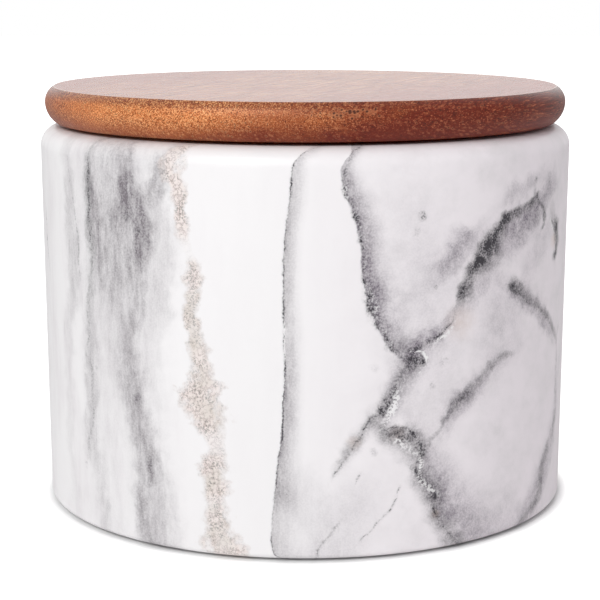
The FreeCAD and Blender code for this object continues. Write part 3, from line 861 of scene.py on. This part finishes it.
# A patch of open vessels at the front of the lid: millimetres across the grain and up, and its half size
OPEN_VESSELS = (37.0, 96.8)
VESSEL_PATCH = (8.0, 1.6)
# The heartwood's border sways by this many millimetres with the growth bands. It moves sideways by the lean
# for each millimetre below the height.
BAND_SWAY = 25.0
RING_LEAN = 2.5
LEAN_FROM = 96.0
# Shares of the way up the lid's edge, with the painted shade that reddens it there and how open the fibres
# are
EDGE_SHADE_CURVE = [
    (0.0, 0.65), (0.25, 0.5), (0.45, 0.2), (0.6, 0.0), (0.75, 0.0), (0.84, 0.45), (0.92, 0.65),
    (1.0, 0.65),
]
OPEN_GRAIN = [(0.0, 0.2), (0.25, 0.4), (0.5, 1.0), (1.0, 1.0)]
# How far the surface faces up, and how strong the painted highlight along the arris is there
ARRIS_HIGHLIGHT_CURVE = [(0.0, 0.0), (0.87, 0.0), (0.91, 0.8), (0.975, 0.8), (0.993, 0.0), (1.0, 0.0)]


def oiled_acacia(lid, name):
    """Acacia, turned from a flat-sawn board, sanded and oiled: golden sapwood on one side and red heartwood
    on the other, with pores and fibres that are dots on the end grain and dashes along the sides. The flat
    top is the smoothest, the end grain soaks up the finish and stays duller. Shade under the arris and
    towards the underside, and a highlight along the arris, are painted into the colour."""
    material, tree = new_material(name)
    add = partial(add_node, tree)
    # Turned so that Y runs along the grain
    turned = add("ShaderNodeMapping", {"Vector": millimetres(tree), "Rotation": (0.0, 0.0, -lid.grain_turn)})
    parts = add("ShaderNodeSeparateXYZ", {"Vector": turned}).node.outputs

    # Fibres 0.2 mm wide, growth bands of a few millimetres, and blotches of oil
    fine = add("ShaderNodeVectorMath", {0: turned, 1: (4.2, 0.07, 4.2)}, operation="MULTIPLY")
    fibres = add("ShaderNodeTexNoise", {"Vector": fine, "Scale": 1.0, "Detail": 3.0, "Roughness": 0.65})
    wide = add("ShaderNodeVectorMath", {0: turned, 1: (0.11, 0.008, 0.2)}, operation="MULTIPLY")
    bands = add("ShaderNodeTexNoise", {"Vector": wide, "Scale": 1.0, "Detail": 3.0})
    blotches = add("ShaderNodeTexNoise", {"Vector": turned, "Scale": 0.06, "Detail": 3.0})

    uneven = add("ShaderNodeMath", {0: bands, 1: 2 * BAND_SWAY, 2: -BAND_SWAY}, operation="MULTIPLY_ADD")
    # The growth rings lean, so that the heartwood reaches further at the underside
    low = add(
        "ShaderNodeMath", {0: parts["Z"], 1: -RING_LEAN, 2: RING_LEAN * LEAN_FROM}, operation="MULTIPLY_ADD"
    )
    side = add("ShaderNodeMath", {0: parts["X"], 1: uneven}, operation="ADD")
    side = add("ShaderNodeMath", {0: side, 1: low}, operation="ADD")
    side = add("ShaderNodeMapRange", {"Value": side, "From Min": 8.0, "From Max": 48.0})
    # On the far side of the sapwood the red comes back
    other = add(
        "ShaderNodeMapRange",
        {"Value": parts["X"], "From Min": -20.0, "From Max": -46.0, "To Max": 0.55},
    )
    side = add("ShaderNodeMath", {0: side, 1: other}, operation="MAXIMUM")
    red, dark = to_linear(lid.red), to_linear(lid.dark)
    wood = add("ShaderNodeMix", {"Factor": side, "A": to_linear(lid.golden), "B": red}, data_type="RGBA")
    stain = add("ShaderNodeMapRange", {"Value": blotches, "From Min": 0.5, "From Max": 0.75, "To Max": 0.5})
    # Painted shade: the wood is redder under the arris and towards the underside, and its fibres fade towards
    # the underside
    height = add(
        "ShaderNodeMapRange",
        {"Value": parts["Z"], "From Min": LID_LOW.z * PER_METRE, "From Max": LID_HIGH.z * PER_METRE},
    )
    edge_shade = add("ShaderNodeFloatCurve", {"Value": height}, curve=EDGE_SHADE_CURVE)
    open_grain = add("ShaderNodeFloatCurve", {"Value": height}, curve=OPEN_GRAIN)
    normal = add("ShaderNodeNewGeometry").node.outputs["Normal"]
    up = add("ShaderNodeSeparateXYZ", {"Vector": normal}).node.outputs["Z"]
    flat = add("ShaderNodeMapRange", {"Value": up, "From Min": 0.85, "From Max": 0.97, "To Max": 0.85})
    fleck = add(
        "ShaderNodeMix",
        {"Factor": side, "A": to_linear(lid.fleck), "B": to_linear(lid.red_fleck)},
        data_type="RGBA",
    )
    # Flecks are sparser in the heartwood
    lively = add("ShaderNodeMath", {0: side, 1: -0.055, 2: fibres}, operation="MULTIPLY_ADD")
    flecks = add("ShaderNodeMapRange", {"Value": lively, "From Min": 0.52, "From Max": 0.59, "To Max": 0.95})
    flecks = add("ShaderNodeMath", {0: flecks, 1: open_grain}, operation="MULTIPLY")
    shadows = add("ShaderNodeMapRange", {"Value": fibres, "From Min": 0.46, "From Max": 0.38, "To Max": 0.9})
    shadows = add("ShaderNodeMath", {0: shadows, 1: open_grain}, operation="MULTIPLY")

    # Dashes of the larger vessels, about 0.7 mm wide
    coarse = add("ShaderNodeVectorMath", {0: turned, 1: (1.4, 0.035, 1.4)}, operation="MULTIPLY")
    dashes = add("ShaderNodeTexNoise", {"Vector": coarse, "Scale": 1.0, "Detail": 2.0, "Roughness": 0.6})
    pale = add("ShaderNodeMapRange", {"Value": dashes, "From Min": 0.55, "From Max": 0.68, "To Max": 0.25})
    deep = add("ShaderNodeMapRange", {"Value": dashes, "From Min": 0.44, "From Max": 0.32, "To Max": 0.35})

    # Pores in some of the cells, which are 0.7 mm wide. They are larger where the growth bands are open and
    # in the patch of open vessels, and each has a pale ring.
    sparse = add("ShaderNodeVectorMath", {0: turned, 1: (1.4, 0.05, 1.4)}, operation="MULTIPLY")
    cells = add("ShaderNodeTexVoronoi", {"Vector": sparse, "Scale": 1.0})
    size = add(
        "ShaderNodeMapRange",
        {"Value": bands, "From Min": 0.4, "From Max": 0.7, "To Min": 0.06, "To Max": 0.28},
    )
    per_patch = Vector((1 / VESSEL_PATCH[0], 0, 1 / VESSEL_PATCH[1]))
    patch = add(
        "ShaderNodeVectorMath",
        {0: turned, 1: per_patch, 2: -per_patch * Vector((OPEN_VESSELS[0], 0, OPEN_VESSELS[1]))},
        operation="MULTIPLY_ADD",
    )
    patch = add("ShaderNodeVectorMath", {0: patch}, operation="LENGTH").node.outputs["Value"]
    patch = add("ShaderNodeMapRange", {"Value": patch, "From Min": 0.4, "To Min": 0.3, "To Max": 0.0})
    size = add("ShaderNodeMath", {0: size, 1: patch}, operation="ADD")
    chance = add("ShaderNodeSeparateColor", {"Color": cells.node.outputs["Color"]}).node.outputs["Red"]
    chance = add("ShaderNodeMapRange", {"Value": chance, "From Min": 0.2, "From Max": 0.45, "To Min": 0.05})
    size = add("ShaderNodeMath", {0: size, 1: chance}, operation="MULTIPLY")
    pores = add("ShaderNodeMath", {0: cells, 1: size}, operation="DIVIDE")
    rings = add(
        "ShaderNodeMapRange",
        {"Value": pores, "From Min": 1.1, "From Max": 2.0, "To Min": 0.5, "To Max": 0.0},
    )
    pores = add(
        "ShaderNodeMapRange",
        {"Value": pores, "From Min": 0.6, "From Max": 1.0, "To Min": 0.9, "To Max": 0.0},
    )

    # Painted highlight along the arris, by how far the surface faces up
    arris_highlight = add("ShaderNodeFloatCurve", {"Value": up}, curve=ARRIS_HIGHLIGHT_CURVE)

    # All of it is laid over the wood in turn, the painted shade among it and the painted highlight on the
    # arris last
    layers = (
        (stain, red),
        (edge_shade, red),
        (flat, to_linear(lid.face)),
        (flecks, fleck),
        (shadows, dark),
        (pale, fleck),
        (deep, dark),
        (rings, fleck),
        (pores, dark),
        (arris_highlight, to_linear(lid.arris_highlight)),
    )
    for share, shade in layers:
        wood = add("ShaderNodeMix", {"Factor": share, "A": wood, "B": shade}, data_type="RGBA")

    dents = add("ShaderNodeMath", {0: shadows, 1: pores}, operation="MAXIMUM")
    bump = add("ShaderNodeBump", {"Height": dents, "Strength": 0.3, "Distance": 0.06 * MM}, invert=True)
    rough = add(
        "ShaderNodeMapRange",
        {"Value": up, "From Min": 0.3, "From Max": 0.9, "To Min": 0.46, "To Max": 0.2},
    )
    sheen = add(
        "ShaderNodeMapRange",
        {"Value": up, "From Min": 0.3, "From Max": 0.9, "To Min": 0.3, "To Max": 0.5},
    )
    shader = add(
        "ShaderNodeBsdfPrincipled",
        {"Base Color": wood, "Roughness": rough, "IOR": 1.5, "Specular IOR Level": sheen, "Normal": bump},
    )
    add("ShaderNodeOutputMaterial", {"Surface": shader})
    return material


def milky_silicone(seal):
    """Moulded silicone: milky, slightly dusty, with a soft satin highlight."""
    material, tree = new_material("milky_silicone")
    add = partial(add_node, tree)
    dust = add("ShaderNodeTexNoise", {"Vector": millimetres(tree), "Scale": 0.6, "Detail": 4.0})
    rough = add(
        "ShaderNodeMapRange", {"Value": dust, "From Min": 0.3, "From Max": 0.7, "To Min": 0.4, "To Max": 0.55}
    )
    shade = add(
        "ShaderNodeValToRGB",
        {"Fac": dust},
        stops=[(0.35, to_linear(seal.silicone)), (0.75, to_linear(seal.dust))],
    )
    shader = add(
        "ShaderNodeBsdfPrincipled",
        {"Base Color": shade, "Roughness": rough, "IOR": 1.41, "Subsurface Weight": 0.2},
    )
    add("ShaderNodeOutputMaterial", {"Surface": shader})
    return material


def closed_cell_foam(pads):
    """Die-cut closed-cell foam: near black, matt, with fine cells."""
    material, tree = new_material("closed_cell_foam")
    add = partial(add_node, tree)
    cells = add("ShaderNodeTexVoronoi", {"Vector": millimetres(tree), "Scale": 2.0})
    shade = add(
        "ShaderNodeValToRGB",
        {"Fac": cells},
        stops=[(0.0, to_linear(pads.cell)), (0.6, to_linear(pads.foam))],
    )
    bump = add("ShaderNodeBump", {"Height": cells, "Strength": 0.4, "Distance": 0.1 * MM})
    shader = add("ShaderNodeBsdfPrincipled", {"Base Color": shade, "Roughness": 0.85, "Normal": bump})
    add("ShaderNodeOutputMaterial", {"Surface": shader})
    return material


def rounded_section(corners, step=math.radians(12), support=0.25 * MM):
    """Points of a section whose corners are (radius, height, round). Each round is an arc with a point on the
    straight each side of it, so that flats stay flat in the shading."""
    points = []
    last = len(corners) - 1
    for index, (radius, height, rounding) in enumerate(corners):
        corner = Vector((radius, height))
        if not rounding or index in (0, last):
            points.append(corner)
            continue
        back = (Vector(corners[index - 1][:2]) - corner).normalized()
        ahead = (Vector(corners[index + 1][:2]) - corner).normalized()
        half = back.angle(ahead) / 2
        centre = corner + (back + ahead).normalized() * rounding / math.sin(half)
        tangent = rounding / math.tan(half)
        start = corner + back * tangent - centre
        turn = start.angle_signed(corner + ahead * tangent - centre)
        count = max(2, math.ceil(abs(turn) / step))
        points.append(corner + back * (tangent + support))
        for i in range(count + 1):
            angle = -turn * i / count
            spoke = Vector(
                (
                    start.x * math.cos(angle) - start.y * math.sin(angle),
                    start.x * math.sin(angle) + start.y * math.cos(angle),
                )
            )
            points.append(centre + spoke)
        points.append(corner + ahead * (tangent + support))
    return [tuple(p) for p in points]


def new_tree(name, inputs):
    """A Geometry Nodes tree with the named inputs and one geometry output."""
    tree = bpy.data.node_groups.new(name, "GeometryNodeTree")
    for label, kind in inputs:
        tree.interface.new_socket(name=label, in_out="INPUT", socket_type=kind)
    tree.interface.new_socket(name="Piece", in_out="OUTPUT", socket_type="NodeSocketGeometry")
    return tree, add_node(tree, "NodeGroupInput").node.outputs


def close_tree(tree, geometry, material):
    """Ends a tree as the export needs it: realized, smooth and with its material."""
    whole = add_node(tree, "GeometryNodeRealizeInstances", {"Geometry": geometry})
    smooth = add_node(tree, "GeometryNodeSetShadeSmooth", {"Geometry": whole})
    dressed = add_node(tree, "GeometryNodeSetMaterial", {"Geometry": smooth, "Material": material})
    add_node(tree, "NodeGroupOutput", {0: dressed})


def turning_tree():
    """Turns a section, drawn as a curve, about the Z axis like work on a lathe."""
    tree, given = new_tree(
        "Turning",
        [
            ("Section", "NodeSocketGeometry"),
            ("Segments", "NodeSocketInt"),
            ("Material", "NodeSocketMaterial"),
        ],
    )
    ring = add_node(
        tree, "GeometryNodeCurvePrimitiveCircle", {"Resolution": given["Segments"], "Radius": AXIS_RING}
    )
    turned = add_node(tree, "GeometryNodeCurveToMesh", {"Curve": ring, "Profile Curve": given["Section"]})
    closed = add_node(tree, "GeometryNodeMergeByDistance", {"Geometry": turned, "Distance": MERGE_WITHIN})
    close_tree(tree, closed, given["Material"])
    return tree


def scattered_pads_tree():
    """Sets pads with an eased edge evenly on a circle."""
    tree, given = new_tree(
        "Foot pads",
        [
            ("Geometry", "NodeSocketGeometry"),
            ("Count", "NodeSocketInt"),
            ("Circle", "NodeSocketFloat"),
            ("Material", "NodeSocketMaterial"),
        ],
    )
    places = add_node(
        tree, "GeometryNodeMeshCircle", {"Vertices": given["Count"], "Radius": given["Circle"]}
    )
    pads = add_node(
        tree, "GeometryNodeInstanceOnPoints", {"Points": places, "Instance": given["Geometry"]}
    )
    close_tree(tree, pads, given["Material"])
    return tree


def through_tree(ob, tree, values):
    """Runs the object through a tree, with the inputs' values by name, and returns a plain mesh object."""
    modifier = ob.modifiers.new(tree.name, "NODES")
    modifier.node_group = tree
    for item in tree.interface.items_tree:
        if item.item_type == "SOCKET" and item.name in values:
            modifier[item.identifier] = values[item.name]
    shown = ob.evaluated_get(bpy.context.evaluated_depsgraph_get())
    mesh = bpy.data.meshes.new_from_object(shown)
    name = ob.name
    bpy.data.objects.remove(ob)
    plain = bpy.data.objects.new(name, mesh)
    plain.data.name = name
    bpy.context.scene.collection.objects.link(plain)
    return plain


def turned_piece(name, section, segments, material):
    """A turned piece from a section of (radius, height) points, drawn from the top or inside outwards."""
    curve = bpy.data.curves.new(name, "CURVE")
    curve.dimensions = "3D"
    spline = curve.splines.new("POLY")
    spline.points.add(len(section) - 1)
    for point, (radius, height) in zip(spline.points, section):
        point.co = (radius - AXIS_RING, -height, 0, 1)
    ob = bpy.data.objects.new(name, curve)
    bpy.context.scene.collection.objects.link(ob)
    return through_tree(ob, turning_tree(), {"Segments": segments, "Material": material})


def settle(piece, body, node):
    """The piece moves with the body and stands for the node."""
    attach(piece, body)
    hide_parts(node)


class CANISTER_OT_marble_pot(bpy.types.Operator):
    """Turn the marble pot"""

    bl_idname = "canister.marble_pot"
    bl_label = "Marble pot"

    def execute(self, context):
        pot = context.scene.canister_pot
        mouth = pot.wall_radius - pot.wall_thickness
        floor = POT_LOW.z + pot.floor_thickness
        section = rounded_section(
            [
                (0, floor, 0),
                (mouth, floor, pot.floor_round),
                (mouth, POT_HIGH.z, pot.mouth_round),
                (pot.wall_radius, POT_HIGH.z, pot.rim_round),
                (pot.wall_radius - pot.wall_draft, POT_LOW.z, pot.base_round),
                (0, POT_LOW.z, 0),
            ]
        )
        material = honed_white_marble(pot, context.scene.canister_stage)
        piece = turned_piece("marble_pot", section, pot.segments, material)
        settle(piece, "pot", "marble_body")
        return {"FINISHED"}


def arc(radius, height, run, rise, count=12):
    """Points from the widest line to the end of a rounded edge that runs in and rises by those lengths."""
    bend = (run**2 + rise**2) / (2 * run)
    whole = math.asin(rise / bend)
    sweep = [whole * i / count for i in range(count + 1)]
    return [(radius - bend + bend * math.cos(a), height + bend * math.sin(a)) for a in sweep]


class CANISTER_OT_lid_board(bpy.types.Operator):
    """Turn the wooden lid"""

    bl_idname = "canister.lid_board"
    bl_label = "Lid board"

    def execute(self, context):
        lid = context.scene.canister_lid
        radius = LID_HIGH.x
        equator = LID_LOW.z + lid.equator
        upper = arc(radius, equator, lid.upper_run, LID_HIGH.z - equator)
        lower = arc(radius, -equator, lid.lower_run, equator - LID_LOW.z)
        mouth = context.scene.canister_pot.wall_radius - context.scene.canister_pot.wall_thickness
        seat = mouth + context.scene.canister_pot.mouth_round + lid.seat
        gap = LID_LOW.z + lid.shadow_gap
        corners = [(0, LID_HIGH.z, 0), (*upper[-1], lid.arris)]
        corners += [(r, z, 0) for r, z in reversed(upper[:-2])]
        corners += [(r, -z, 0) for r, z in lower[1:] if -z > gap]
        corners += [(lower[-1][0], gap, 0), (seat, gap, 0), (seat, LID_LOW.z, 0), (0, LID_LOW.z, 0)]
        material = oiled_acacia(lid, "oiled_acacia")
        piece = turned_piece("lid", rounded_section(corners), lid.segments, material)
        settle(piece, "lid", "lid_board")
        return {"FINISHED"}


class CANISTER_OT_lid_plug(bpy.types.Operator):
    """Turn the plug under the lid"""

    bl_idname = "canister.lid_plug"
    bl_label = "Lid plug"

    def execute(self, context):
        lid = context.scene.canister_lid
        radius = PLUG_HIGH.x
        groove = radius - lid.groove_depth
        top = SEAL_HIGH.z + lid.groove_gap
        foot = SEAL_LOW.z - lid.groove_gap
        ease = 0.15 * MM
        section = rounded_section(
            [
                (0, PLUG_HIGH.z, 0),
                (radius, PLUG_HIGH.z, ease),
                (radius, top, ease),
                (groove, top, ease),
                (groove, foot, ease),
                (radius, foot, ease),
                (radius, PLUG_LOW.z + lid.plug_chamfer, ease),
                (radius - lid.plug_chamfer, PLUG_LOW.z, ease),
                (0, PLUG_LOW.z, 0),
            ],
            support=0.1 * MM,
        )
        material = oiled_acacia(lid, "oiled_acacia_plug")
        piece = turned_piece("plug", section, lid.segments, material)
        settle(piece, "lid", "lid_plug")
        return {"FINISHED"}


class CANISTER_OT_seal_ring(bpy.types.Operator):
    """Turn the silicone seal"""

    bl_idname = "canister.seal_ring"
    bl_label = "Seal ring"

    def execute(self, context):
        seal = context.scene.canister_seal
        lid = context.scene.canister_lid
        band = PLUG_HIGH.x
        inner = band - lid.groove_depth
        reach = SEAL_HIGH.x
        ease = 0.1 * MM
        lean = 0.2 * MM
        tip_round = seal.lip_tip * 0.4
        corners = [(inner, SEAL_HIGH.z, 0), (band, SEAL_HIGH.z, ease)]
        for lip in reversed(range(seal.lip_count)):
            root = SEAL_LOW.z + seal.lip_start + lip * seal.lip_pitch
            tip = root + seal.lip_rise
            corners += [
                (band, root + seal.lip_root, ease),
                (reach - lean, tip + seal.lip_tip, tip_round),
                (reach, tip, tip_round),
                (band, root, ease),
            ]
        corners += [(band, SEAL_LOW.z, ease), (inner, SEAL_LOW.z, 0), (inner, SEAL_HIGH.z, 0)]
        section = rounded_section(corners, support=0.02 * MM)
        piece = turned_piece("seal", section, lid.segments, milky_silicone(seal))
        settle(piece, "lid", "seal_ring")
        return {"FINISHED"}


class CANISTER_OT_foot_pads(bpy.types.Operator):
    """Stick the pads under the base"""

    bl_idname = "canister.foot_pads"
    bl_label = "Foot pads"

    def execute(self, context):
        pads = context.scene.canister_pads
        radius = pads.diameter / 2
        top, foot = PADS_HIGH.z, PADS_LOW.z
        ease = (top - foot) * 0.4
        section = rounded_section(
            [(0, top, 0), (radius, top, ease), (radius, foot, ease), (0, foot, 0)], support=0.05 * MM
        )
        material = closed_cell_foam(pads)
        pad = turned_piece("pads", section, pads.segments, material)
        circle = PADS_HIGH.x - radius
        values = {"Count": pads.count, "Circle": circle, "Material": material}
        piece = through_tree(pad, scattered_pads_tree(), values)
        settle(piece, "pot", "foot_pads")
        return {"FINISHED"}


# Half the floor's side, how white its paper is, and the light it adds towards the camera: metres from the
# axis and the level there
FLOOR_HALF_SIDE = 3.0
PAPER = (0.9, 0.9, 0.9, 1.0)
FLOOR_GLOW = [(0.0628, 0.0), (0.0645, 0.8), (0.2, 0.84), (0.6, 1.0)]
# The world's light from behind, from above and from the room in front
BACKDROP_LIGHT = 1.0
ABOVE_LIGHT = 0.52
ROOM_LIGHT = 0.34
# Softboxes: name, place and size in metres, and watts. All face one point of the canister
SOFTBOXES = [
    ("key", (-0.46, -0.91, 0.77), (0.8, 0.7), 8.5),
    ("fill", (1.04, -0.6, 0.5), (0.8, 0.8), 1.05),
]
SOFTBOX_AIM = (0, 0, 0.05)


def white_floor():
    """Pale paper floor: white to the camera, with the canister's own shadow near it."""
    material, tree = new_material("white_floor")
    add = partial(add_node, tree)
    paper = add("ShaderNodeBsdfDiffuse", {"Color": PAPER})
    place = add("ShaderNodeTexCoord").node.outputs["Object"]
    away = add("ShaderNodeVectorMath", {0: place}, operation="LENGTH").node.outputs["Value"]
    lift = add(
        "ShaderNodeValToRGB",
        {"Fac": away},
        stops=[(metres, (level, level, level, 1.0)) for metres, level in FLOOR_GLOW],
    )
    seen = add("ShaderNodeLightPath").node.outputs["Is Camera Ray"]
    glow = add("ShaderNodeEmission", {"Color": lift, "Strength": seen})
    both = add("ShaderNodeAddShader", {0: paper, 1: glow})
    add("ShaderNodeOutputMaterial", {"Surface": both})
    return material


def white_world():
    """White to the camera. As light it is a white backdrop behind, softer above and a dim room in front."""
    world = bpy.data.worlds.new("white_backdrop")
    world.use_nodes = True
    tree = world.node_tree
    tree.nodes.clear()
    add = partial(add_node, tree)
    facing = add("ShaderNodeTexCoord").node.outputs["Generated"]
    parts = add("ShaderNodeSeparateXYZ", {"Vector": facing}).node.outputs
    room = add(
        "ShaderNodeMapRange",
        {
            "Value": parts["Y"],
            "From Min": 0.2,
            "From Max": 0.95,
            "To Min": ROOM_LIGHT,
            "To Max": BACKDROP_LIGHT,
        },
        interpolation_type="SMOOTHSTEP",
    )
    above = add("ShaderNodeMapRange", {"Value": parts["Z"], "From Min": 0.35, "From Max": 0.9})
    light = add("ShaderNodeMix", {"Factor": above, "A": room, "B": ABOVE_LIGHT})
    seen = add("ShaderNodeLightPath").node.outputs["Is Camera Ray"]
    strength = add("ShaderNodeMix", {"Factor": seen, "A": light, "B": 1.0})
    white = add("ShaderNodeBackground", {"Color": (1.0, 1.0, 1.0, 1.0), "Strength": strength})
    add("ShaderNodeOutputWorld", {"Surface": white})
    return world


def add_softbox(name, place, size, watts):
    """A rectangular light that faces the canister."""
    lamp = bpy.data.lights.new(name, "AREA")
    lamp.shape = "RECTANGLE"
    lamp.size, lamp.size_y = size
    lamp.energy = watts
    ob = bpy.data.objects.new(name, lamp)
    ob.location = place
    ob.rotation_euler = (Vector(SOFTBOX_AIM) - Vector(place)).to_track_quat("-Z", "Y").to_euler()
    bpy.context.scene.collection.objects.link(ob)


class CANISTER_OT_stage(bpy.types.Operator):
    """Set up floor, light and camera"""

    bl_idname = "canister.stage"
    bl_label = "Stage"

    def execute(self, context):
        stage = context.scene.canister_stage
        scene = context.scene
        scene.view_settings.view_transform = "Standard"
        scene.world = white_world()

        side = FLOOR_HALF_SIDE
        mesh = bpy.data.meshes.new("floor")
        corners = [(-side, -side, 0), (side, -side, 0), (side, side, 0), (-side, side, 0)]
        mesh.from_pydata(corners, [], [(0, 1, 2, 3)])
        mesh.materials.append(white_floor())
        floor = bpy.data.objects.new("floor", mesh)
        scene.collection.objects.link(floor)

        for softbox in SOFTBOXES:
            add_softbox(*softbox)

        lens = bpy.data.cameras.new("camera")
        lens.sensor_width = SENSOR_WIDTH
        lens.lens = stage.focal
        camera = bpy.data.objects.new("camera", lens)
        pixels = stage.focal / SENSOR_WIDTH * PHOTO_SIZE
        yaw = math.atan((stage.axis_pixel - PHOTO_SIZE / 2) / pixels)
        camera.location = (0, -stage.distance, stage.height)
        camera.rotation_euler = (math.radians(90) - stage.pitch, 0, yaw)
        scene.collection.objects.link(camera)
        scene.camera = camera
        return {"FINISHED"}


class CANISTER_PT_panel(bpy.types.Panel):
    """Pieces of the canister, in the order in which they are made"""

    bl_idname = "CANISTER_PT_panel"
    bl_label = "Canister"
    bl_space_type = "VIEW_3D"
    bl_region_type = "UI"
    bl_category = "Canister"

    def draw(self, context):
        for operator in OPERATORS:
            self.layout.operator(operator.bl_idname)


SETTINGS = {
    "canister_pot": PotSettings,
    "canister_lid": LidSettings,
    "canister_seal": SealSettings,
    "canister_pads": PadSettings,
    "canister_stage": StageSettings,
}
OPERATORS = (
    CANISTER_OT_stage,
    CANISTER_OT_marble_pot,
    CANISTER_OT_lid_board,
    CANISTER_OT_lid_plug,
    CANISTER_OT_seal_ring,
    CANISTER_OT_foot_pads,
)


def register():
    for group in SETTINGS.values():
        bpy.utils.register_class(group)
    for operator in OPERATORS:
        bpy.utils.register_class(operator)
    bpy.utils.register_class(CANISTER_PT_panel)
    for name, group in SETTINGS.items():
        setattr(bpy.types.Scene, name, PointerProperty(type=group))


def unregister():
    for name in SETTINGS:
        delattr(bpy.types.Scene, name)
    bpy.utils.unregister_class(CANISTER_PT_panel)
    for operator in reversed(OPERATORS):
        bpy.utils.unregister_class(operator)
    for group in SETTINGS.values():
        bpy.utils.unregister_class(group)


def main():
    register()
    for operator in OPERATORS:
        family, name = operator.bl_idname.split(".")
        getattr(getattr(bpy.ops, family), name)()


if __name__ == "__main__":
    main()
